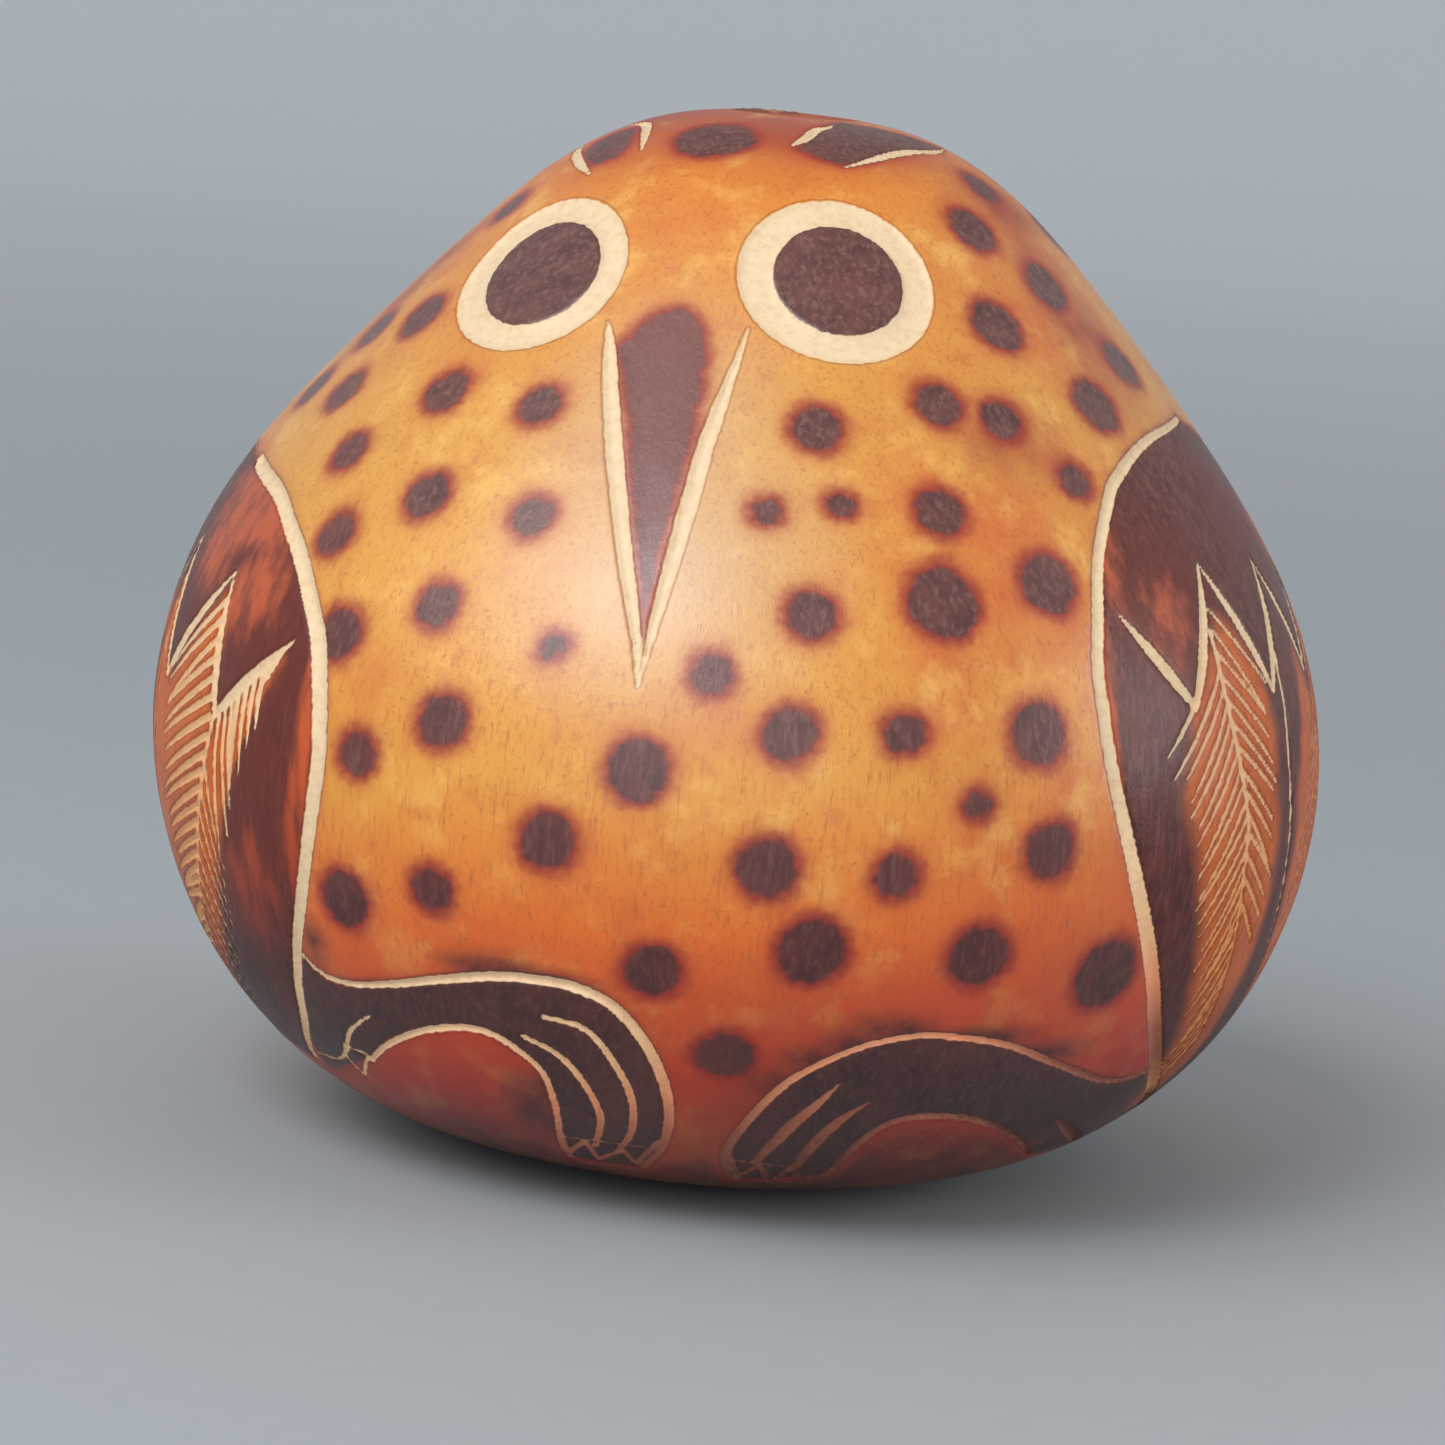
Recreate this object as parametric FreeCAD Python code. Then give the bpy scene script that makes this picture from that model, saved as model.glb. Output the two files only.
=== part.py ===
"""Gourd rattle: a handle-less shaker made from one small dried gourd, carved and burnt as an owl.

The frame is in millimetres, +Z up. The origin is the centre of the sanded foot, on the surface that the
rattle stands on, and the owl's face looks along -Y. The pieces are the woody rind, the dry pith lining
inside it, the cut stem that plugs the crown, and the loose seeds that make the sound.
"""

import FreeCAD, Part
import math
import os
from FreeCAD import Vector

# The rind's outer skin, as (radius, height) from the rim of the sanded foot up to the crown.
SKIN_OUTLINE = [(12.0, 0.0), (25.6, 2.9), (34.2, 9.1), (39.7, 17.9), (42.0, 30.5), (39.1, 42.4),
                (31.0, 54.3), (22.4, 64.0), (16.2, 69.8), (9.6, 73.3), (0.0, 74.4)]
CROWN_HEIGHT = SKIN_OUTLINE[-1][1]
FOOT_SLOPE = 0.10         # how steeply the skin leaves the foot's rim
RIND_THICKNESS = 2.0      # woody shell
LINING_GAP = 0.1          # the pith has shrunk this far off the rind
LINING_THICKNESS = 0.8    # dry, papery pith
FOOT_SANDED_OFF = 0.5     # how much thinner the wall is at the middle of the foot

# The stem, cut off just above the crown, is a cone that wedges in the rind.
STEM_TOP_RADIUS = 4.6
STEM_TAPER = 0.08         # radius lost per millimetre of depth
STEM_PROUD = 0.3          # how far the cut end stands above the crown
STEM_DEPTH = 5.2          # length below the crown, into the cavity
STEM_EDGE_ROUND = 0.4

# Gourd seeds: flat drops with a blunt end and a pointed end.
SEED_LENGTH = 10.2
SEED_WIDTH = 5.2
SEED_THICKNESS = 2.2
SEED_TIP_RADIUS = 1.3
SEED_EDGE_ROUND = 0.8
SEED_CLEARANCE = 0.3      # gap between a resting seed and the lining

# How much one seed differs from the next.
SIZE_SPREAD = 0.06        # share of its size
HEADING_SPREAD = 9        # degrees by which a seed lies askew of its ring
PLACE_SPREAD = 0.04       # share of a ring's pitch by which a seed lies off its place

# Rings of seeds on the cavity's floor, as (number of seeds, ring radius).
SEED_RINGS = [(3, 5.6), (7, 14.6), (11, 23.6)]


def skin_points():
    """The points of the outer skin's outline in the XZ plane."""
    return [Vector(radius, 0, height) for radius, height in SKIN_OUTLINE]


def smooth_outline(points, first_direction):
    """A smooth curve through these points, level where it ends on the axis."""
    curve = Part.BSplineCurve()
    curve.interpolate(Points=points, InitialTangent=first_direction, FinalTangent=Vector(-1, 0, 0),
                      Scale=False)
    return curve


def skin_curve():
    """The outer skin's outline, from the foot's rim to the crown."""
    return smooth_outline(skin_points(), Vector(1, 0, FOOT_SLOPE))


def inner_curve(depth):
    """The outline at this depth under the skin. Its floor is a dome, which no sanding reached."""
    skin = skin_curve()
    points = [Vector(0, 0, depth - FOOT_SANDED_OFF)]
    for point in skin_points()[:-1]:
        along = skin.tangent(skin.parameter(point))[0]
        points.append(point + Vector(-along.z, 0, along.x) * depth)
    points.append(Vector(0, 0, CROWN_HEIGHT - depth))
    return smooth_outline(points, Vector(1, 0, 0))


def solid_of_revolution(edges):
    """Turns a closed half section in the XZ plane about the Z axis."""
    face = Part.Face(Part.Wire(edges))
    return face.revolve(Vector(0, 0, 0), Vector(0, 0, 1), 360)


def gourd_body():
    """The whole gourd as if it were solid, with its sanded foot."""
    skin = skin_curve()
    middle_of_foot = Vector(0, 0, 0)
    return solid_of_revolution([
        Part.makeLine(middle_of_foot, skin.StartPoint),
        skin.toShape(),
        Part.makeLine(skin.EndPoint, middle_of_foot),
    ])


def inner_body(depth):
    """What is left of the gourd at this depth under its skin."""
    outline = inner_curve(depth)
    return solid_of_revolution([outline.toShape(), Part.makeLine(outline.EndPoint, outline.StartPoint)])


def stem_cone():
    """The hole in the crown, and the stem that fills it, wider at the cut end."""
    length = STEM_DEPTH + STEM_PROUD
    bottom_radius = STEM_TOP_RADIUS - STEM_TAPER * length
    return Part.makeCone(bottom_radius, STEM_TOP_RADIUS, length, Vector(0, 0, CROWN_HEIGHT - STEM_DEPTH))


def stem_plug():
    """The stem with the edge of its cut end worn round."""
    cone = stem_cone()
    cut_edge = max(cone.Edges, key=lambda edge: edge.BoundBox.ZMin)
    return cone.makeFillet(STEM_EDGE_ROUND, [cut_edge])


def gourd_shell():
    """The woody rind, open only where the stem passes through the crown."""
    return gourd_body().cut(inner_body(RIND_THICKNESS)).cut(stem_cone())


def pith_lining():
    """The thin dry lining of the cavity, which ends at the stem."""
    outside = inner_body(RIND_THICKNESS + LINING_GAP)
    inside = inner_body(RIND_THICKNESS + LINING_GAP + LINING_THICKNESS)
    return outside.cut(inside).cut(stem_cone())


def seed_outline(scale):
    """A drop: a blunt round end and a small round tip, joined by two straight flanks."""
    blunt = SEED_WIDTH / 2 * scale
    tip = SEED_TIP_RADIUS * scale
    blunt_x = SEED_LENGTH / 2 * scale - blunt
    tip_x = tip - SEED_LENGTH / 2 * scale
    lean = math.asin((blunt - tip) / (blunt_x - tip_x))
    outward = Vector(-math.sin(lean), math.cos(lean), 0)
    upper = [Vector(blunt_x, 0, 0) + outward * blunt, Vector(tip_x, 0, 0) + outward * tip]
    lower = [Vector(point.x, -point.y, 0) for point in upper]
    return Part.Wire([
        Part.Arc(lower[0], Vector(blunt_x + blunt, 0, 0), upper[0]).toShape(),
        Part.makeLine(upper[0], upper[1]),
        Part.Arc(upper[1], Vector(tip_x - tip, 0, 0), lower[1]).toShape(),
        Part.makeLine(lower[1], lower[0]),
    ])


def seed_body(scale):
    """One seed, flat on the XY plane about the origin, with rounded edges."""
    thickness = SEED_THICKNESS * scale
    plate = Part.Face(seed_outline(scale)).extrude(Vector(0, 0, thickness))
    plate.translate(Vector(0, 0, -thickness / 2))
    rims = [edge for edge in plate.Edges if edge.BoundBox.ZLength < thickness / 2]
    return plate.makeFillet(SEED_EDGE_ROUND * scale, rims)


def floor_under(floor, radius):
    """The floor's height, and its slope in degrees, at this distance from the axis."""
    plumb_line = Part.Line(Vector(radius, 0, 0), Vector(radius, 0, 1))
    heights = [crossing.Z for crossing in floor.intersectCC(plumb_line)]
    foot_point = Vector(radius, 0, min(heights))
    along = floor.tangent(floor.parameter(foot_point))[0]
    return foot_point.z, math.degrees(math.atan2(along.z, along.x))


def lay_on(seed, lining):
    """Lowers or lifts a seed until it clears the lining by SEED_CLEARANCE."""
    for _ in range(6):
        seed.translate(Vector(0, 0, SEED_CLEARANCE - seed.distToShape(lining)[0]))


def seeds(lining):
    """The loose seeds, which lie flat on the cavity's floor in rings, each a little askew."""
    floor = inner_curve(RIND_THICKNESS + LINING_GAP + LINING_THICKNESS)
    axis = Vector(0, 0, 1)
    laid = []
    for count, ring_radius in SEED_RINGS:
        height, slope = floor_under(floor, ring_radius)
        for place in range(count):
            number = len(laid) + 1
            sway = math.sin(2.4 * number)
            tip_forward = 90 + 180 * (number % 2)
            seed = seed_body(1 + SIZE_SPREAD * math.cos(1.7 * number))
            seed.rotate(Vector(0, 0, 0), axis, tip_forward + HEADING_SPREAD * sway)
            seed.rotate(Vector(0, 0, 0), Vector(0, 1, 0), -slope)
            seed.translate(Vector(ring_radius, 0, height + SEED_THICKNESS))
            seed.rotate(Vector(0, 0, 0), axis, 360 / count * (place + PLACE_SPREAD * sway))
            lay_on(seed, lining)
            laid.append(seed)
    return laid


def main():
    os.makedirs("parts", exist_ok=True)
    lining = pith_lining()
    nodes = {"gourd_shell": gourd_shell(), "pith_lining": lining, "stem_plug": stem_plug()}
    for number, seed in enumerate(seeds(lining), start=1):
        nodes[f"seed_{number:02d}"] = seed
    for name, shape in nodes.items():
        print(f"{name}: {len(shape.Solids)} solid, valid {shape.isValid()}, {shape.Volume:.1f} mm3")
        shape.exportStep(f"parts/{name}.step")


main()
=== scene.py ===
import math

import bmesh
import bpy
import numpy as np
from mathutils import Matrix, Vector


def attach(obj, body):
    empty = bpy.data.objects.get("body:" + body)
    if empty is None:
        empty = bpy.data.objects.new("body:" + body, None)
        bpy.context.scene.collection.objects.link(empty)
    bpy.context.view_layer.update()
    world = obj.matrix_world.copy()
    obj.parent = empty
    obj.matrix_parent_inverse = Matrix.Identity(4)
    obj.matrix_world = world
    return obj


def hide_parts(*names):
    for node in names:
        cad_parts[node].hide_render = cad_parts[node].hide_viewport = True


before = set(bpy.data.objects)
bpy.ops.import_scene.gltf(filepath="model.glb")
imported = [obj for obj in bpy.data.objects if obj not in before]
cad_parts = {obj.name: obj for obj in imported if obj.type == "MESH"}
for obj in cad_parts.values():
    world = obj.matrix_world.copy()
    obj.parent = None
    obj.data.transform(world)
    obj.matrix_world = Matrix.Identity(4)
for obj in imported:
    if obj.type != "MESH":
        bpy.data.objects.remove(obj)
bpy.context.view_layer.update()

# A gourd rattle carved and burnt as an owl, standing on its sanded foot.
#
# The rind is one mesh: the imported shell's own outline, turned about the axis, with real grooves cut where
# the carver cut. Places on the skin are (bearing, height): degrees around the gourd from the owl's face,
# positive to the owl's left wing, and millimetres above the foot. The burnt areas and the cuts are kept on
# the mesh as distances in millimetres, and the rind's material turns those into colour.

MM = 0.001

# ------------ camera, light and floor

CAMERA_BEARING = 14.0
CAMERA_ELEVATION = 8.5
CAMERA_ROLL = 5.4  # the gourd leans to the right in the picture
CAMERA_DISTANCE = 370.6 * MM
CAMERA_AIM = Vector((-0.8, -1.2, 30.6)) * MM
CAMERA_LENS = 128.5
SENSOR_WIDTH = 36.0
NEAREST_SEEN = 0.01

# Each soft light's bearing, elevation, distance and width in metres, power in watts, and colour.
SOFTBOXES = {"key_light": (-33, 41, 0.9, 0.7, 3.6, (1.0, 0.98, 0.95)),
             "window_light": (-10, 42, 0.9, 0.4, 2.6, (0.78, 0.89, 1.0)),
             "side_light": (98, 16, 0.7, 0.34, 1.2, (1.0, 0.98, 0.98)),
             "front_light": (8, 3, 1.0, 1.1, 3.9, (1.0, 0.95, 0.9))}
SKY_COLOUR = (0.92, 0.96, 1.0, 1)
SKY_STRENGTH = 0.48

# The floor, in metres: flat rings, then a bend up into a low wall.
FLAT_RADII = (0.3, 0.7)
BEND_START = 1.0
BEND_RADIUS = 0.3
WALL_HEIGHT = 0.1
BEND_STEPS = 13
FLOOR_COLUMNS = 96


def looking_from(bearing, elevation, distance, aim, roll=0.0):
    """The place of a camera or light that looks at aim from this far off, with angles in degrees."""
    turn, lift, tilt = math.radians(bearing), math.radians(elevation), math.radians(roll)
    back = Vector((math.sin(turn) * math.cos(lift), -math.cos(turn) * math.cos(lift), math.sin(lift)))
    right = Vector((0, 0, 1)).cross(back).normalized()
    up = back.cross(right)
    right, up = (right * math.cos(tilt) + up * math.sin(tilt),
                 up * math.cos(tilt) - right * math.sin(tilt))
    place = Matrix((right, up, back)).transposed().to_4x4()
    place.translation = aim + back * distance
    return place


def add_object(name, data):
    thing = bpy.data.objects.new(name, data)
    bpy.context.scene.collection.objects.link(thing)
    return thing


def add_camera():
    data = bpy.data.cameras.new("camera")
    data.sensor_width = SENSOR_WIDTH
    data.lens = CAMERA_LENS
    data.clip_start = NEAREST_SEEN
    camera = add_object("camera", data)
    camera.matrix_world = looking_from(CAMERA_BEARING, CAMERA_ELEVATION, CAMERA_DISTANCE, CAMERA_AIM,
                                       CAMERA_ROLL)
    bpy.context.scene.camera = camera


def add_lights():
    for name, (bearing, elevation, distance, width, watts, colour) in SOFTBOXES.items():
        data = bpy.data.lights.new(name, "AREA")
        data.shape = "DISK"
        data.size = width
        data.energy = watts
        data.color = colour
        add_object(name, data).matrix_world = looking_from(bearing, elevation, distance, CAMERA_AIM)


def add_sky():
    world = bpy.data.worlds.new("studio")
    world.use_nodes = True
    sky = world.node_tree.nodes["Background"]
    sky.inputs["Color"].default_value = SKY_COLOUR
    sky.inputs["Strength"].default_value = SKY_STRENGTH
    bpy.context.scene.world = world
    bpy.context.scene.view_settings.view_transform = "Standard"


def add_floor():
    """A pale floor that curves up into a wall all round, like a studio sweep."""
    outline = [(radius, 0.0) for radius in FLAT_RADII]
    outline += [(BEND_START + BEND_RADIUS * math.sin(a), BEND_RADIUS * (1 - math.cos(a)))
                for a in np.linspace(0, math.pi / 2, BEND_STEPS)]
    outline.append((BEND_START + BEND_RADIUS, BEND_RADIUS + WALL_HEIGHT))
    turns = np.linspace(0, 2 * math.pi, FLOOR_COLUMNS, endpoint=False)
    shape = bmesh.new()
    rings = [[shape.verts.new((r * math.cos(a), r * math.sin(a), z)) for a in turns] for r, z in outline]
    shape.faces.new(rings[0])
    join_rings(shape, rings)
    floor = add_object("studio_floor", mesh_of("studio_floor", shape))
    floor.data.materials.append(floor_material())


# ------------ small mesh helpers

SHARP_ANGLE = 60  # degrees: an edge that bends more than this is shaded as a corner
RIPPLE_WAVES = 14


def join_rings(shape, rings):
    """Faces between each ring of vertices and the next."""
    for lower, upper in zip(rings, rings[1:]):
        count = len(lower)
        for i in range(count):
            k = (i + 1) % count
            shape.faces.new((lower[i], lower[k], upper[k], upper[i]))


def mesh_of(name, shape):
    """Turns a bmesh into a smooth-shaded mesh, and frees it."""
    mesh = bpy.data.meshes.new(name)
    shape.to_mesh(mesh)
    shape.free()
    mesh.shade_smooth()
    mesh.set_sharp_from_angle(angle=math.radians(SHARP_ANGLE))
    return mesh


def ripple(points, size, seed):
    """A smooth random field, mostly between -1 and 1, with lumps about this many millimetres across."""
    chance = np.random.default_rng(seed)
    total = np.zeros(len(points))
    for _ in range(RIPPLE_WAVES):
        way = chance.normal(size=3)
        way *= 2 * math.pi / size / np.linalg.norm(way) * chance.uniform(0.6, 1.4)
        total += np.sin(points @ way + chance.uniform(0, 2 * math.pi))
    return total / math.sqrt(RIPPLE_WAVES)


# ------------ the gourd's outline

OUTLINE_SPACING = 1.6  # millimetres between the outline's points
TABLE_STEPS = 4000  # how finely heights along an outline are tabled
NUDGE = 0.05  # millimetres each way over which an outline's direction is taken


class Outline:
    """A profile that is turned about Z: a smooth curve through (radius, height) points in millimetres."""

    def __init__(self, points):
        self.points = np.array(points)
        steps = np.hypot(*np.diff(self.points, axis=0).T)
        self.knots = np.concatenate(([0.0], np.cumsum(steps)))
        self.length = self.knots[-1]
        self.slopes = self._slopes(steps)
        along = np.linspace(0, self.length, TABLE_STEPS)
        self.table = np.column_stack((along, self.at(along)))

    def _slopes(self, steps):
        """The slopes at the points that make the curve's bend continuous."""
        count = len(self.points)
        rows = np.eye(count)
        chords = np.diff(self.points, axis=0) / steps[:, None]
        right = np.zeros((count, 2))
        right[0], right[-1] = chords[0], chords[-1]
        for i in range(1, count - 1):
            before, after = steps[i - 1], steps[i]
            rows[i, i - 1:i + 2] = after, 2 * (before + after), before
            right[i] = 3 * (after * chords[i - 1] + before * chords[i])
        return np.linalg.solve(rows, right)

    def at(self, along):
        """(radius, height) at these distances along the outline."""
        k = np.clip(np.searchsorted(self.knots, along, side="right") - 1, 0, len(self.knots) - 2)
        step = self.knots[k + 1] - self.knots[k]
        t = ((along - self.knots[k]) / step)[:, None]
        step = step[:, None]
        return ((1 + 2 * t) * (1 - t) ** 2 * self.points[k] + t * (1 - t) ** 2 * step * self.slopes[k]
                + t ** 2 * (3 - 2 * t) * self.points[k + 1] - t ** 2 * (1 - t) * step * self.slopes[k + 1])

    def along_at(self, height):
        """How far along the outline a height is, where the outline only climbs."""
        return np.interp(height, self.table[:, 2], self.table[:, 0])

    def uphill(self, along):
        """The unit (radius, height) direction of the outline, from the foot to the crown."""
        ahead = self.at(along + NUDGE) - self.at(along - NUDGE)
        return ahead / np.linalg.norm(ahead, axis=1)[:, None]


def values_of(items, name, width, kind=float):
    """One property of all the items, which has this many numbers each, in rows of three."""
    values = np.empty(len(items) * width, kind)
    items.foreach_get(name, values)
    return values.reshape(-1, 3)


def outline_of(node, outside):
    """The outline of a turned CAD node's outer or inner face, read off its mesh."""
    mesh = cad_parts[node].data
    places = values_of(mesh.vertices, "co", 3) / MM
    middles = values_of(mesh.polygons, "center", 3) / MM
    normals = values_of(mesh.polygons, "normal", 3)
    corners = values_of(mesh.loops, "vertex_index", 1, int)
    centre = np.array((0, 0, places[:, 2].mean()))
    outward = ((middles - centre) * normals).sum(axis=1) > 0

    def section(chosen):
        held = places[np.unique(corners[chosen])]
        return {(round(math.hypot(x, y), 2), round(z, 2)) for x, y, z in held}

    found = section(outward) if outside else section(~outward) - section(outward)
    by_slope = sorted(found, key=lambda p: math.atan2(p[1] - centre[2], p[0]))
    kept = [by_slope[0]]
    for point in by_slope[1:-1]:
        if min(math.dist(point, kept[-1]), math.dist(point, by_slope[-1])) > OUTLINE_SPACING:
            kept.append(point)
    return Outline(kept + [by_slope[-1]])


skin = outline_of("gourd_shell", outside=True)
cavity = outline_of("gourd_shell", outside=False)


def turned(radius, turn, height):
    """Points at these radii and heights, this many radians around from the owl's face."""
    return np.column_stack((radius * np.sin(turn), -radius * np.cos(turn), height))


def on_skin(places):
    """Points in space, in millimetres, of (bearing, height) places on the gourd's skin."""
    bearing, height = np.radians(places[:, 0]), places[:, 1]
    radius = skin.at(skin.along_at(height))[:, 0]
    return turned(radius, bearing, height)


# ------------ the carver's lines

SPAN_STEPS = 8  # how many places there are from one corner of a line to the next
SHORT_SPAN_STEPS = 3  # the same, on barbs and claws


def smooth_line(corners):
    """Places along a smooth curve through these places."""
    p = np.array(corners, float)
    p = np.vstack((2 * p[0] - p[1], p, 2 * p[-1] - p[-2]))
    t = np.linspace(0, 1, SPAN_STEPS, endpoint=False)[:, None]
    spans = [0.5 * (2 * b + (c - a) * t + (2 * a - 5 * b + 4 * c - d) * t ** 2
                    + (3 * b - a - 3 * c + d) * t ** 3) for a, b, c, d in zip(p, p[1:], p[2:], p[3:])]
    return np.vstack(spans + [p[-2:-1]])


def straight_line(corners, steps=SPAN_STEPS):
    """Places along the straight runs between these places."""
    p = np.array(corners, float)
    t = np.linspace(0, 1, steps, endpoint=False)[:, None]
    return np.vstack([a + (b - a) * t for a, b in zip(p, p[1:])] + [p[-1:]])


class Cut:
    """One groove: its line on the skin, and its half width at each point of that line."""

    def __init__(self, line, widths):
        self.line = on_skin(line)
        share = np.linspace(0, 1, len(line))
        self.half_widths = np.interp(share, np.linspace(0, 1, len(widths)), widths) / 2

    def distance(self, points, reach):
        """Which points are near, and how far they are outside the groove's edge."""
        low, high = self.line.min(axis=0) - reach, self.line.max(axis=0) + reach
        near = np.flatnonzero(np.all((points > low) & (points < high), axis=1))
        best = np.full(len(near), reach)
        for a, b, wide_a, wide_b in zip(self.line, self.line[1:], self.half_widths, self.half_widths[1:]):
            run = b - a
            t = np.clip((points[near] - a) @ run / max(run @ run, 1e-9), 0, 1)
            away = np.linalg.norm(points[near] - a - t[:, None] * run, axis=1)
            best = np.minimum(best, away - wide_a - (wide_b - wide_a) * t)
        return near, best


# Lines of the carving, each as its corners.
RIGHT_WING_FRONT = [
    (-61, 47.3), (-48.6, 46.1), (-41.4, 44.2), (-36.7, 42.4), (-32.8, 40.1), (-30.2, 38), (-28.6, 35.7),
    (-27.5, 33.1), (-26.9, 30.3), (-27.2, 27.5), (-28.1, 24.1), (-29.6, 20.6), (-31.6, 17.4), (-34, 14.1),
    (-37.4, 10.5), (-43.9, 6.9)]
RIGHT_WING_BACK = [
    (-61, 47.3), (-75, 47.5), (-87, 43), (-95, 36), (-97, 29), (-95, 22), (-88, 13), (-78, 7)]
RIGHT_WING_TEETH = [
    (-33, 37.5), (-44, 31), (-48, 40.5), (-59.5, 32), (-65, 41.5), (-76, 32.5), (-80.5, 41), (-89, 34.5)]
RIGHT_SPINES = [
    [(-44, 31), (-46, 26.5), (-50, 20), (-58, 12.5)],
    [(-65, 41.5), (-63.5, 35), (-63.5, 28), (-66, 20), (-71, 12)],
    [(-76, 32.5), (-77, 26), (-77, 19), (-75, 12)]]
LEFT_WING_FRONT = [
    (90, 56), (76.4, 55.3), (68.7, 54.4), (62.8, 53.1), (58.6, 51.6), (53.1, 47.7), (50.3, 42.7),
    (49.8, 40), (50.4, 35.4), (52.4, 30.7), (55.5, 25.8), (59.5, 21), (64.7, 16.1), (72.7, 11.6),
    (84.5, 7.5)]
LEFT_WING_BACK = [
    (90, 56), (101, 54), (111, 49), (118, 41), (121, 33), (119, 25), (112, 15), (102, 8)]
LEFT_WING_TEETH = [
    (54, 44.5), (62.5, 38.5), (70, 47.5), (78.4, 39), (85.4, 47.2), (92, 39.5), (99, 46.5), (108, 39),
    (112, 44)]
LEFT_SPINES = [
    [(67.7, 43.3), (67.8, 39.2), (69, 34.9), (70.8, 30.4), (71.4, 26.1), (73, 22), (77, 14)],
    [(84.5, 46), (81.6, 42.7), (80.7, 38.5), (80.5, 33.5), (81.4, 29.1), (82.8, 23.8), (86, 17)],
    [(98, 42), (97.5, 34), (96.5, 26), (93, 17)]]
RIGHT_FOOT_TOP = [
    (-31.5, 16), (-30.3, 15.3), (-27.6, 14.8), (-23.8, 15), (-19.1, 15.7), (-14.8, 16.5), (-10.9, 17.2),
    (-6.8, 17.8), (-2.9, 18), (0.4, 17.9), (3.7, 17.2), (5.9, 16), (7.9, 14.2), (9.3, 12.3), (10.2, 10.2),
    (10.3, 8), (9.2, 5.7), (6.4, 3.6)]
RIGHT_FOOT_UNDER = [
    (-27.7, 8.9), (-23.1, 10.7), (-18.7, 12.1), (-14.9, 13), (-11.2, 13.5), (-8.2, 13.3), (-5.5, 12.3),
    (-3.6, 11.1), (-3, 9.6), (-3.1, 7.4), (-4.1, 5.2), (-4.5, 3.6)]
RIGHT_FOOT_TOES = [
    [(-2.5, 15.3), (1.5, 14.9), (4.3, 12.8), (6.2, 9.9), (5.8, 7), (3.4, 4.9)],
    [(-5, 13.6), (-1.3, 12.5), (1.2, 10.4), (2.3, 7.8), (0.6, 5.2)]]
LEFT_FOOT_TOP = [
    (72, 12.4), (66, 11.8), (60, 12.3), (52, 14), (44.5, 15.7), (37.5, 16.4), (33.5, 16.3), (29, 15.4),
    (25, 13.8), (22, 12), (19, 8.8), (17.5, 5.9), (19.5, 3.2)]
LEFT_FOOT_UNDER = [
    (32.3, 4.3), (32.5, 6.1), (33.3, 7.7), (34.9, 9.1), (37.4, 9.8), (41.2, 9.9), (45.2, 9.6),
    (50.5, 8.6), (56.2, 7.2), (65, 5)]
LEFT_FOOT_TOES = [
    [(28, 12.5), (26, 10.5), (24, 8.6), (21.5, 5.3)],
    [(32, 11.1), (29.5, 9.5), (27.8, 7.4), (27, 5)]]
RIGHT_TUFT = [
    [(-40, 69.2), (-49, 69.7), (-60, 70.2), (-72, 70.6), (-86, 70.8)],
    [(-33, 71.2), (-40, 72), (-50, 72.6), (-62, 72.8), (-76, 72.2), (-86, 70.8)]]
LEFT_TUFT = [
    [(29, 71.5), (42, 72.2), (53, 72.6), (66, 72.8), (80, 72.8), (94, 72.9)],
    [(14, 72.6), (19, 73.1), (25, 73.65), (38, 74)]]
BEAK = [
    [(-11.7, 60.2), (-9.3, 58.4), (-5.3, 54.4), (-1.4, 49.7), (1.8, 44.7), (3.7, 41.1), (4.5, 38.2)],
    [(9.9, 60.8), (8.3, 57), (7.1, 53.7), (6.5, 50.2), (5.9, 46.7), (5.4, 43.9), (5, 41.4), (4.5, 38.2)]]
TAIL_MIDDLE = 192  # bearing of the tail, opposite the middle of the breast


def tail_line(offsets_and_heights):
    return [(TAIL_MIDDLE + offset, height) for offset, height in offsets_and_heights]


def tail_spine(side):
    """The middle line of a tail feather: -1, 0 or 1 from one side to the other."""
    return tail_line([(side * 4, 28), (side * 6, 20), (side * 11, 9)])


TAIL_SIDES = [tail_line([(side * 8, 33), (side * 14, 27), (side * 18, 19), (side * 24, 9)])
              for side in (-1, 1)]
TAIL_TOP = tail_line([(-8, 33), (-4, 28), (0, 33), (4, 28), (8, 33)])
TAIL_SPINES = [tail_spine(side) for side in (-1, 0, 1)]

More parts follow.
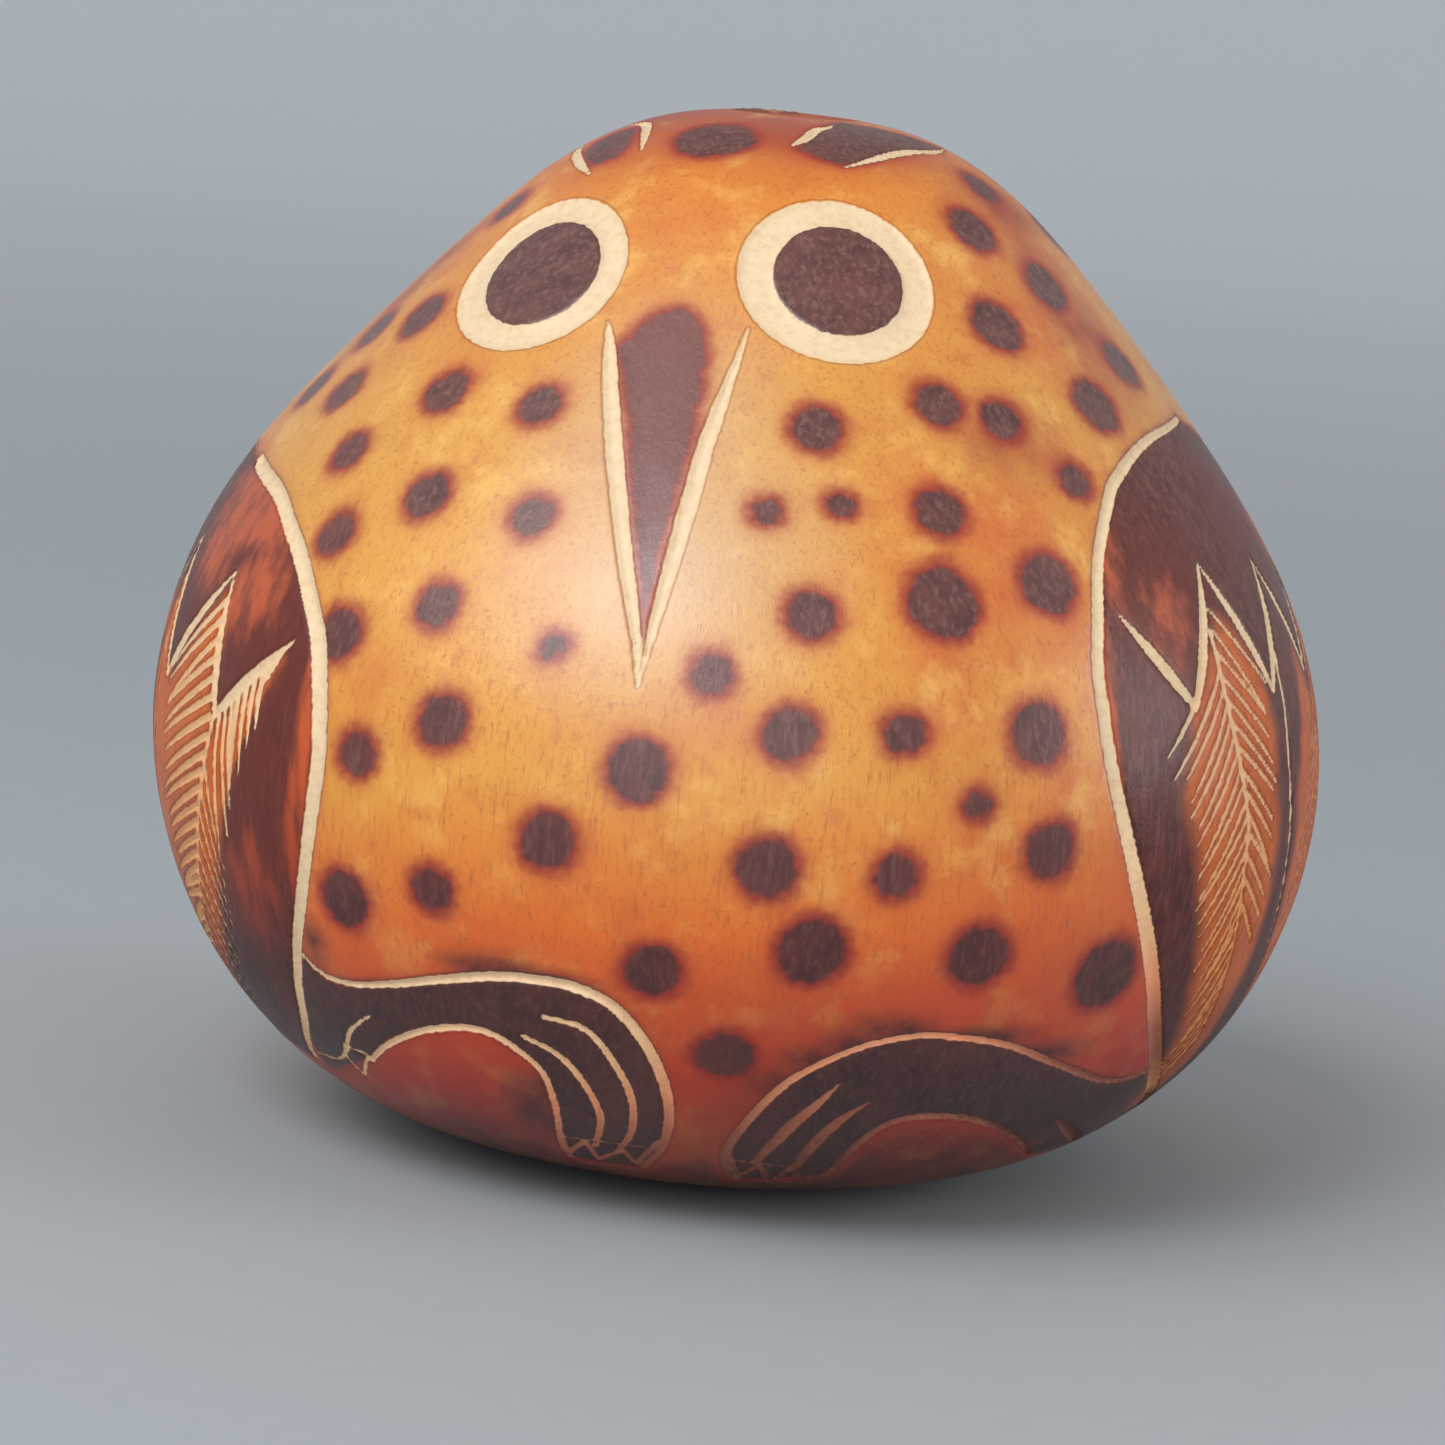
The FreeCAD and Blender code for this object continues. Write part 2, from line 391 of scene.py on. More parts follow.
# Cuts along smooth lines, with their widths in millimetres from one end of each line to the other.
TAIL_BARB = (0.4, 0.4, 0.2)
SMOOTH_CUTS = [
    ([RIGHT_WING_FRONT], (1.1, 1.35, 1.5, 1.35, 1, 0.65)),
    ([LEFT_WING_FRONT], (0.5, 0.9, 1, 1.1, 1.35, 1.1)),
    ([RIGHT_WING_BACK, LEFT_WING_BACK], (0, 0.4, 1, 1.1, 1.1, 0.8)),
    (RIGHT_SPINES + LEFT_SPINES, (0.45, 0.5, 0.4, 0.2)),
    ([RIGHT_FOOT_TOP], (0.35, 0.5, 0.75, 0.85, 0.85, 0.75, 0.5)),
    ([RIGHT_FOOT_UNDER], (0.45, 0.6, 0.5, 0.45)),
    ([[(-24, 12.7), (-28.5, 11), (-32, 9), (-36, 7.8), (-41, 7.6)]], (0.2, 0.4, 0.3, 0.2)),
    ([LEFT_FOOT_TOP], (0.6, 0.6, 0.55, 0.55, 0.7, 0.75)),
    ([LEFT_FOOT_UNDER], (0.5, 0.65, 0.65, 0.6, 0.35)),
    ([[(60, 8.7), (65, 7.4), (71, 6.2), (79, 4.8)]], (0.3, 0.9, 1.1, 0.5)),
    (RIGHT_FOOT_TOES, (0.4, 0.55, 0.55, 0.45)),
    (LEFT_FOOT_TOES, (0.15, 0.8, 1, 0.7)),
    (BEAK, (0.15, 1, 1.2, 1.05, 0.7, 0.15)),
    (RIGHT_TUFT + LEFT_TUFT, (0.2, 0.7, 0.8, 0.6, 0.2)),
    (TAIL_SIDES, (0.5, 1.1, 1.1, 0.8)),
    (TAIL_SPINES, TAIL_BARB)]

# Cuts along straight lines.
BARB = (0.42, 0.38, 0.14)
STRAIGHT_CUTS = [([(61, 6.3), (71, 6.2)], (0.3, 0.3)), (TAIL_TOP, (0.6, 0.6)),
                 ([(62.1, 38.4), (57.8, 35.4)], BARB)]
TEETH_WIDTHS = ((0.2, 0.9, 1, 0.6), (0.6, 1.05, 0.9, 0.2))  # down a tooth, and up the next one

# Cuts that zigzag across the ends of the toes, each run one width.
CLAWS = [
    ([(-3.6, 6), (-4.2, 4), (-0.6, 5.6), (0, 3.8), (4.2, 5.2), (5.6, 3.9), (9, 6.4)], 0.45),
    ([(-3.1, 5.7), (7.3, 5.7)], 0.2),
    ([(-31.5, 9.5), (-33.1, 8.4), (-31.9, 7.2), (-27.8, 9.2), (-31.5, 9.5)], 0.3),
    ([(17.4, 6.4), (20, 3.3), (22, 5.1), (25, 3.1), (26.5, 4.8), (31, 2.9), (32.3, 4.8)], 0.5),
    ([(18.5, 5.3), (32.3, 4.7)], 0.3)]

# The wings' combs of fine cuts, each from one line to another: how many cuts, and their widths.
WING_COMBS = [
    # The owl's right wing: under the first tooth, then both sides of the first and last spines.
    ([(-34.5, 36.6), (-43, 31.6)], [(-35.3, 34.6), (-39.5, 25.5), (-43, 21.5)], 9,
     (0.5, 0.52, 0.25)),
    ([(-47.5, 38.5), (-45, 31), (-46.5, 26), (-50, 20), (-57, 13.5)],
     [(-57, 33), (-58.5, 27), (-59, 22), (-61, 17), (-65, 12)], 22, (0.6, 0.55, 0.2)),
    ([(-45.5, 28), (-48, 23), (-52, 17.5), (-57, 13)],
     [(-42.5, 20), (-45, 15.5), (-49, 11.5), (-54, 8.5)], 10, BARB),
    ([(-77, 35), (-76.5, 27), (-77, 19), (-75, 12)], [(-68, 31), (-66, 24), (-68, 16), (-71, 10)], 18, BARB),
    ([(-77, 33), (-77, 26), (-77, 19), (-75, 12)], [(-87, 30), (-87, 22), (-84, 15), (-78, 9)], 18, BARB),
    # The owl's left wing: both sides of the first and last spines.
    ([(67.7, 40.8), (68.2, 37.3), (69, 34.9), (70.8, 30.4), (71.4, 26.1), (73, 22), (77, 14)],
     [(59.3, 34.6), (61, 31.6), (62.6, 28.4), (64.4, 25.2), (66.5, 21.8), (69.8, 17), (75, 9)],
     26, (0.3, 0.4, 0.2)),
    ([(68.7, 44.6), (67.9, 40.5), (69, 35), (71, 30), (71.6, 25)],
     [(76.5, 39.8), (75.6, 36.5), (76, 31), (77, 27), (77, 22)], 14, (0.36, 0.4, 0.3)),
    (LEFT_SPINES[-1], [(89, 36), (86, 28), (86.5, 20), (88, 12)], 20, BARB),
    (LEFT_SPINES[-1], [(108, 35), (110, 27), (106, 18), (98, 11)], 20, BARB)]
BARB_SHAKE = 0.25  # how many millimetres unevenly the barbs end
DEGREES_PER_MM = 1.6  # about how many degrees of bearing make a millimetre on the wings


def spread(corners, count):
    """This many places, evenly spaced over the skin, on the smooth line through these places."""
    line = smooth_line(corners)
    steps = np.linalg.norm(np.diff(on_skin(line), axis=0), axis=1)
    gone = np.concatenate(([0], np.cumsum(steps))) / steps.sum()
    return np.column_stack([np.interp(np.linspace(0, 1, count), gone, line[:, k]) for k in (0, 1)])


def comb(first, second, count, widths):
    """Straight cuts from places spread along one line to places spread along another."""
    chance = np.random.default_rng(count)
    starts, ends = spread(first, count), spread(second, count)
    ends += chance.normal(0, BARB_SHAKE, ends.shape) * (DEGREES_PER_MM, 1)
    return [Cut(straight_line(pair, SHORT_SPAN_STEPS), widths) for pair in zip(starts, ends)]


def tail_combs():
    combs = []
    for side in (-1, 1):
        outer_edge = tail_line([(side * 8, 24), (side * 12, 16), (side * 18, 8)])
        inner_edge = tail_line([(side * 3.5, 24), (side * 4.5, 16), (side * 8, 8)])
        combs.append((tail_spine(side), outer_edge, 13, TAIL_BARB))
        combs.append((tail_line([(0, 29), (0, 20), (0, 9)]), inner_edge, 14, TAIL_BARB))
    return combs


def all_cuts():
    cuts = [Cut(smooth_line(line), widths) for lines, widths in SMOOTH_CUTS for line in lines]
    cuts += [Cut(straight_line(line), widths) for line, widths in STRAIGHT_CUTS]
    for teeth in (RIGHT_WING_TEETH, LEFT_WING_TEETH):
        for number, pair in enumerate(zip(teeth, teeth[1:])):
            cuts.append(Cut(straight_line(pair), TEETH_WIDTHS[number % 2]))
    for first, second, count, widths in WING_COMBS + tail_combs():
        cuts += comb(first, second, count, widths)
    for tips, width in CLAWS:
        cuts += [Cut(straight_line(pair, SHORT_SPAN_STEPS), (width, width)) for pair in zip(tips, tips[1:])]
    return cuts


# ------------ burnt patches

FAR = 5.0  # millimetres: no distance from a burnt patch has to be known beyond this


class Oval:
    """A patch on the skin: its middle place, its size around and up the gourd in millimetres, and how far
    it leans toward lower bearings for each millimetre up."""

    def __init__(self, bearing, height, around, up=None, lean=0.0):
        self.middle = on_skin(np.array([(bearing, height)]))[0]
        turn = math.radians(bearing)
        out, rise = skin.uphill(skin.along_at(np.array([height])))[0]
        self.across = np.array((math.cos(turn), math.sin(turn), 0))
        self.upward = np.array((out * math.sin(turn), -out * math.cos(turn), rise))
        self.halves = around / 2, (up or around) / 2
        self.lean = lean

    def distance(self, points):
        """How far each point is outside the patch's edge, and less than 0 inside."""
        away = points - self.middle
        half_around, half_up = self.halves
        rise = away @ self.upward
        side = away @ self.across + self.lean * rise
        share = np.sqrt((side / half_around) ** 2 + (rise / half_up) ** 2)
        flat = (share - 1) * math.sqrt(half_around * half_up)
        behind = np.linalg.norm(away, axis=1) > 3 * max(self.halves)
        return np.where(behind, np.maximum(flat, FAR), flat)


class Region:
    """A patch inside a closed line of places."""

    def __init__(self, *lines):
        self.places = np.vstack([smooth_line(line) for line in lines])
        self.edge = Cut(np.vstack((self.places, self.places[:1])), (0, 0))

    def distance(self, points):
        """How far each point is outside the region's edge, and less than 0 inside."""
        middle = self.places[:, 0].mean()
        bearing, height = np.degrees(np.arctan2(points[:, 0], -points[:, 1])), points[:, 2]
        bearing = (bearing - middle + 180) % 360 - 180 + middle
        inside = np.zeros(len(points), bool)
        for (a, low), (b, high) in zip(self.places, np.roll(self.places, -1, axis=0)):
            if low == high:
                continue
            crosses = (low <= height) != (high <= height)
            inside ^= crosses & (bearing < a + (height - low) / (high - low) * (b - a))
        away = np.full(len(points), FAR)
        near, close = self.edge.distance(points, FAR)
        away[near] = np.minimum(away[near], close)
        return np.where(inside, -away, away)


def ovals(*rows):
    return [Oval(*row) for row in rows]


# Burnt spots on the breast, brow and cheeks, as (bearing, height, size).
SPOTS = [
    (-59, 66.3, 3.9), (-49, 58.6, 4.7), (-61.5, 57, 4.4), (-64, 52.5, 4.4), (-51.5, 53, 4.4),
    (-39.5, 49.6, 4.1), (-30.5, 54.4, 4.5), (-15.3, 54.5, 4.1), (-33.5, 44.6, 4.3), (-23.8, 48, 4.5),
    (-10, 47.8, 4), (-27.3, 38.6, 4.6), (-17, 41.5, 4.1), (-4, 40, 2.8), (11.1, 39.5, 3.8),
    (-22.2, 31.2, 4.1), (-13.6, 34.3, 4.6), (5.5, 33, 5.1), (-2.1, 27.7, 4.8), (-23.6, 21.1, 5.1),
    (-13.4, 23.1, 4.1), (8.2, 19.8, 4.8), (15.7, 14.1, 5), (14.9, 49.7, 3), (23, 50.5, 2.9),
    (20.3, 55, 4.4), (19.9, 43.7, 4.3), (18.7, 36.2, 4.5), (29.1, 36.8, 3.8), (17.7, 27.5, 5),
    (22.5, 22.1, 5.7), (29.2, 27.5, 4), (36.4, 32.4, 3), (38.5, 22.3, 5.4), (53.3, 20.8, 6.2),
    (44, 29.5, 4.8), (42.3, 37, 5.2), (45.5, 46.4, 5.3), (33.3, 45, 6), (34.3, 50.4, 4.5), (37, 57, 4.4),
    (46, 56.2, 4), (54, 52.7, 3.7), (65, 57.2, 5.1), (52, 62.1, 5), (58.5, 68.1, 4.8), (78, 70.7, 4.2),
    (71, 64.6, 5), (80, 59.7, 4.8)]
BROW_SPOT = Oval(-13, 72.5, 6.8, 6.2)

# Each eye's ring, and the pupil inside it.
EYES = [(Oval(-30.1, 62.7, 14, lean=0.13), Oval(-29.5, 62.7, 9.4, lean=0.13)),
        (Oval(24, 64.4, 13.5, 14.2), Oval(24.3, 64.4, 8.9, 9.4))]


def back_spots():
    """Spots in staggered rows over the owl's back, between the wings and above the tail."""
    chance = np.random.default_rng(5)
    spots = []
    for row, height in enumerate((67, 61, 55, 49, 43, 37)):
        first, last = (98 + 3 * row, 262) if height > 50 else (134, 248)
        pitch = 16 + 0.5 * row
        for bearing in np.arange(first + pitch / 2 * (row % 2), last, pitch):
            shift, lift, size = chance.uniform(-1, 1, 3)
            spots.append((bearing + 2.5 * shift, height + 1.2 * lift, 4.5 + 0.6 * size))
    return spots


WINGS = [Region(RIGHT_WING_FRONT, RIGHT_WING_BACK[::-1]), Region(LEFT_WING_FRONT, LEFT_WING_BACK[::-1])]
LEGS = [Region(RIGHT_FOOT_TOP, RIGHT_FOOT_UNDER[::-1], [(-43, 6), (-38, 10), (-34, 14), (-31.8, 16)]),
        Region(LEFT_FOOT_TOP, LEFT_FOOT_UNDER, [(76, 4.5), (86, 7), (78, 9.4), (72.7, 11.6)])]
TUFTS = [
    Region([(-37, 70.4), (-44, 69.8), (-56, 70.4), (-63, 71.4), (-56, 72.5), (-42, 71.7)]),
    Region([(15, 72.4), (20, 73.2), (26, 73.75), (42, 74.1), (64, 74.1), (82, 73.7), (94, 72.95)],
           [(80, 72.75), (66, 72.75), (53, 72.5), (42, 72.1), (31, 71.6), (22, 71.8)])]

# The patch between the beak's two cuts, which was burnt more lightly than the spots.
BEAK_PATCH = Region([(-9.2, 58.6), (-6.6, 60.8), (-2.3, 61.9), (2.8, 61.2), (5.2, 59.4), (5.9, 56),
                     (5.8, 52.9), (5.3, 48.6), (4.8, 43.6), (4.2, 41), (2.8, 43.8), (0.1, 48.5), (-3.6, 54)])

# Where the wings and tail were burnt least, under the feathers.
FEATHERS = [
    Region([(-34, 36), (-44, 31), (-47, 39), (-58, 32), (-64, 39)],
           [(-66, 30), (-67, 22), (-71, 12), (-60, 9), (-48, 16), (-42, 24)]),
    Region([(-67, 38), (-76, 33), (-80, 39), (-88, 33)], [(-90, 26), (-84, 14), (-74, 9), (-69, 20)]),
    Region([(62, 38), (67, 42), (70, 44), (75, 41), (76.8, 37), (77, 33), (77.8, 29), (78.4, 24), (80, 17)],
           [(82, 11), (77, 8), (70, 15.5), (66.6, 21), (64.2, 25), (62, 29), (60, 33)]),
    Region([(88, 41), (93, 38), (99, 44), (107, 39), (112, 30), (108, 18), (98, 9)],
           [(90, 12), (84.8, 22), (83, 31)]),
    Region(tail_line([(-7, 30), (0, 30), (7, 30)]), tail_line([(20, 8), (0, 7), (-20, 8)]))]

# Patches that the rind's material reads, and how many millimetres soft their edges are.
SOFT_PATCHES = {
    "wing": (1, WINGS), "feather": (3, FEATHERS), "beak": (3, [BEAK_PATCH]),
    # Dark marks, where the burning iron slipped past a cut's edge or rested too long.
    "smudge": (2, ovals((-7.5, 18.3, 7, 1.9), (-2, 18.1, 6, 1.3), (-4.6, 8, 5.5, 7), (32, 16.9, 5, 2.2),
                        (28.3, 15.6, 4.6, 2.2), (24.6, 14.2, 4.2, 2.2), (21.5, 12.3, 3.6, 2.2),
                        (42.5, 16.4, 6, 1.6), (50, 15, 6, 1.6), (-29, 17.4, 2, 3))),
    # Where the varnish pooled and is red-brown: round the stem, and on the shoulder by the left wing.
    "stain": (5, ovals((-70, 73.4, 9, 7), (3, 73.3, 9, 5), (30, 73.2, 12, 5), (150, 73, 22, 9), (18, 9, 4, 9),
                       (74, 63, 7, 14), (78, 69.5, 9, 6), (46, 55, 6, 5), (-66, 60, 4, 14))),
    # A painted highlight: a pale patch on the breast, round the beak's tip, that stands in for the varnish's
    # sheen.
    "pale": (16, ovals((1, 52, 9, 14), (5, 47, 12, 12))),
    # Where the amber is redder and darker: low down beside the wings and over the feet as its own colour, and
    # on the breast and shoulder toward the owl's left wing as painted shade.
    "redder_amber_and_shade": (10, ovals((-26, 20, 12, 10), (-12, 19, 12, 5), (30, 17, 26, 6), (48, 24, 9, 14),
                       (42, 45, 22, 34), (64, 62, 14, 14), (2, 26, 8, 5))),
    # Where the wings were burnt only to a red-brown.
    "ember": (5, ovals((-50, 45, 17, 7), (-56, 41.5, 6, 5), (-43, 40, 6, 5), (-29, 33, 1.6, 16),
                       (-30, 23, 1.4, 12), (-38, 20, 5, 6), (61, 44.5, 3, 4), (54, 51, 2.6, 12),
                       (50.5, 38, 1.6, 20), (104, 48, 9, 6), (-82, 43, 8, 5))),
    # Where the wings' dark burn is itself more red than black.
    "red": (6, ovals((-42, 40, 26, 22), (-38, 27, 12, 20), (62, 45, 12, 14), (88, 50, 12, 8)))}


# ------------ the rind

# Sizes are in millimetres.
COLUMNS = 240
ROW_HEIGHT = 1.0
INNER_ROW_HEIGHT = 3.0
FOOT_RINGS = (0.08, 0.3, 0.55, 0.8)  # shares of the foot's radius
SMALLEST_RING = 0.9
CUT_DEPTH = 0.36
CUT_WALL = 0.22  # how quickly a groove's side drops
CUT_WAVER = 0.03  # how far a groove's edge wavers
CUT_WAVER_SIZE = 0.7
BURN_DEPTH = 0.05  # how far the fire ate into the skin
LUMP = 0.16  # how far the gourd's own lumps go in from a true turned shape
LUMP_SIZE = 34
LUMP_FADE = 8  # how far from the foot and from the stem the lumps have faded in
CUT_REACH = 2.5  # no distance from a cut has to be known beyond this
UNDER_CUTS = 0.35  # how far, in millimetres, a burn that ends at a cut reaches past the cut's line
UNDER_EYE_RING = 1.0  # how far each pupil's burn reaches under the ring round it
SPLIT_BANDS = ((-0.8, 0.98), (-0.4, 0.42))  # how far from a groove's edge faces are split, once and again
NOWHERE = 3.0  # the distance to a cut or burn that every vertex off the skin is given

cuts = all_cuts()


def cut_distance(points):
    """How far each point on the skin is outside the nearest groove, and less than 0 inside one."""
    field = np.full(len(points), CUT_REACH)
    for cut in cuts:
        near, away = cut.distance(points, CUT_REACH)
        field[near] = np.minimum(field[near], away)
    for ring, pupil in EYES:
        field = np.minimum(field, np.maximum(ring.distance(points), -pupil.distance(points)))
    return field


def burn_distance(points):
    """How far each point is outside the nearest burnt patch, and less than 0 inside one."""
    spots = ovals(*SPOTS, *back_spots())
    fields = [patch.distance(points) for patch in spots + [BROW_SPOT, BEAK_PATCH]]
    fields += [patch.distance(points) - UNDER_CUTS for patch in LEGS + WINGS + TUFTS]
    fields += [pupil.distance(points) - UNDER_EYE_RING for _, pupil in EYES]
    return np.minimum.reduce(fields + [np.full(len(points), FAR)])


def inside_share(patches, points, softness):
    """From 0 outside the patches to 1 inside them, over an edge this many millimetres soft."""
    away = np.minimum.reduce([patch.distance(points) for patch in patches])
    return np.clip(0.5 - away / softness, 0, 1)


def rind_shape():
    """The rind's rings before carving, with how far along the skin each skin vertex lies."""
    shape = bmesh.new()
    along_layer = shape.verts.layers.float.new("along")
    turns = np.linspace(-math.pi, math.pi, COLUMNS, endpoint=False)

    def ring(radius, height, along=-1.0):
        verts = []
        for turn in turns:
            vert = shape.verts.new((radius * math.sin(turn), -radius * math.cos(turn), height))
            vert[along_layer] = along
            verts.append(vert)
        return verts

    foot_radius = skin.points[0][0]
    rings = [ring(foot_radius * share, 0) for share in FOOT_RINGS]
    rows = np.linspace(0, skin.length, int(skin.length / ROW_HEIGHT))
    rings += [ring(radius, height, along) for (radius, height), along in zip(skin.at(rows), rows)]
    rows = np.linspace(cavity.length, 0, int(cavity.length / INNER_ROW_HEIGHT))
    rings += [ring(max(radius, SMALLEST_RING), height) for radius, height in cavity.at(rows)]
    join_rings(shape, rings)
    shape.faces.new(rings[0][::-1])
    shape.faces.new(rings[-1])
    return shape, along_layer


def refine(shape, along_layer, low, high):
    """Splits every skin face whose middle is between these distances from a groove's edge."""
    faces = [face for face in shape.faces
             if len(face.verts) == 4 and min(vert[along_layer] for vert in face.verts) >= 0]
    middles = np.array([face.calc_center_median() for face in faces])
    away = cut_distance(middles)
    chosen = [face for face, distance in zip(faces, away) if low < distance < high]
    edges = list({edge for face in chosen for edge in face.edges})
    bmesh.ops.subdivide_edges(shape, edges=edges, cuts=1, use_grid_fill=True)


def carve(shape, along_layer):
    """Moves the skin's vertices onto the carved gourd, and returns what the material needs to know."""
    skin_verts = [vert for vert in shape.verts if vert[along_layer] >= 0]
    along = np.array([vert[along_layer] for vert in skin_verts])
    rough = np.array([vert.co for vert in skin_verts])
    turn = np.arctan2(rough[:, 0], -rough[:, 1])
    section, uphill = skin.at(along), skin.uphill(along)
    points = turned(section[:, 0], turn, section[:, 1])
    inward = turned(-uphill[:, 1], turn, uphill[:, 0])
    cut = cut_distance(points) + CUT_WAVER * ripple(points, CUT_WAVER_SIZE, seed=1)
    burn = burn_distance(points)
    lumps = 0.5 + 0.5 * np.clip(ripple(points, LUMP_SIZE, seed=2), -1, 1)
    fade = np.clip(along / LUMP_FADE, 0, 1) * np.clip((skin.length - along) / LUMP_FADE, 0, 1)
    depth = CUT_DEPTH * (1 - np.exp(np.minimum(cut, 0) / CUT_WALL))
    depth += BURN_DEPTH * np.clip(-burn, 0, 1)
    depth += LUMP * fade * lumps
    moved = points + inward * depth[:, None]
    moved[:, 2] = np.maximum(moved[:, 2], 0)
    for vert, place in zip(skin_verts, moved):
        vert.co = place * MM
    for vert in shape.verts:
        if vert[along_layer] < 0:
            vert.co *= MM
    fields = {"cut": cut, "burn": burn}
    for name, (softness, patches) in SOFT_PATCHES.items():
        fields[name] = inside_share(patches, points, softness)
    return [vert.index for vert in skin_verts], fields


def build_rind():
    shape, along_layer = rind_shape()
    for low, high in SPLIT_BANDS:
        refine(shape, along_layer, low, high)
    shape.verts.index_update()
    places, fields = carve(shape, along_layer)
    bmesh.ops.recalc_face_normals(shape, faces=shape.faces)
    mesh = mesh_of("carved_rind", shape)
    for name, values in fields.items():
        everywhere = np.full(len(mesh.vertices), NOWHERE if name in ("cut", "burn") else 0.0)
        everywhere[places] = values
        mesh.attributes.new(name, "FLOAT", "POINT").data.foreach_set("value", everywhere)
    rind = add_object("carved_rind", mesh)
    mesh.materials.append(rind_material())
    mesh.materials.append(wood_wall_material())
    is_skin = np.zeros(len(mesh.vertices), bool)
    is_skin[places] = True
    for polygon in mesh.polygons:
        polygon.material_index = 0 if is_skin[list(polygon.vertices)].all() else 1
    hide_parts("gourd_shell")
    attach(rind, "gourd")


# ------------ the stem

KNOB_PLACE = (-1.9, -0.5)  # millimetres from the gourd's axis
KNOB_RADIUS = 2.4
KNOB_EDGE = 0.3  # how soft the knob's edge is
CRACK_WIDTH = 0.16  # the crack round the knob
CRACK_DEPTH = 0.3
STEM_DOME = 0.15  # how far the middle of the cut end stands above its rim
STEM_TOP = 74.65
STEM_FOOT = 69.25
STEM_FOOT_RADIUS = 4.16
STEM_BEVEL = 0.3
STEM_COLUMNS = 96
STEM_FACE_RINGS = 36


def stem_face(points):
    """How high the stem's cut end stands, and how much each point is knob or crack."""
    rim_radius, rim_height = skin.points[-1]
    share = np.clip(np.hypot(points[:, 0], points[:, 1]) / rim_radius, 0, 1)
    from_knob = np.hypot(points[:, 0] - KNOB_PLACE[0], points[:, 1] - KNOB_PLACE[1])
    from_knob += 0.25 * ripple(points, 2.2, seed=6)
    knob = np.clip((KNOB_RADIUS - from_knob) / KNOB_EDGE, 0, 1)
    crack = np.exp(-((from_knob - KNOB_RADIUS) / CRACK_WIDTH) ** 2)
    height = rim_height + STEM_DOME * (1 - share ** 2) - 0.02 * share
    height += knob * (0.04 + 0.05 * ripple(points, 0.7, seed=7))
    height -= CRACK_DEPTH * crack * (1 - share ** 8)
    return np.minimum(height, STEM_TOP), knob, crack


def build_stem():
    """The stem's wedge, cut off nearly flush, with a ragged knob of wood left to one side."""
    rim_radius, rim_height = skin.points[-1]
    turns = np.linspace(-math.pi, math.pi, STEM_COLUMNS, endpoint=False)
    rings = [(STEM_BEVEL, STEM_FOOT), (STEM_FOOT_RADIUS - STEM_BEVEL, STEM_FOOT),
             (STEM_FOOT_RADIUS, STEM_FOOT + STEM_BEVEL), (rim_radius - 0.08, rim_height - 0.6)]
    rings += [(radius, None) for radius in np.linspace(rim_radius - 0.05, 0.1, STEM_FACE_RINGS)]
    places = np.array([(radius * math.sin(turn), -radius * math.cos(turn), height or 0)
                       for radius, height in rings for turn in turns])
    face_height, knob, crack = stem_face(places * (1, 1, 0))
    on_face = np.repeat([height is None for _, height in rings], STEM_COLUMNS)
    places[on_face, 2] = face_height[on_face]
    shape = bmesh.new()
    verts = [shape.verts.new(place * MM) for place in places]
    loops = [verts[k:k + STEM_COLUMNS] for k in range(0, len(verts), STEM_COLUMNS)]
    join_rings(shape, loops)
    shape.faces.new(loops[0][::-1])
    shape.faces.new(loops[-1])
    bmesh.ops.recalc_face_normals(shape, faces=shape.faces)
    mesh = mesh_of("broken_stem", shape)
    for name, values in (("knob", knob), ("crack", crack * on_face)):
        mesh.attributes.new(name, "FLOAT", "POINT").data.foreach_set("value", values)
    stem = add_object("broken_stem", mesh)
    mesh.materials.append(stem_material())
    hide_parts("stem_plug")
    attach(stem, "gourd")


# ------------ materials

def paint(red, green, blue):
    """A colour given as 0 to 255 on screen, as the linear colour that nodes take."""
    def linear(value):
        value /= 255
        return value / 12.92 if value <= 0.04045 else ((value + 0.055) / 1.055) ** 2.4
    return (linear(red), linear(green), linear(blue), 1.0)


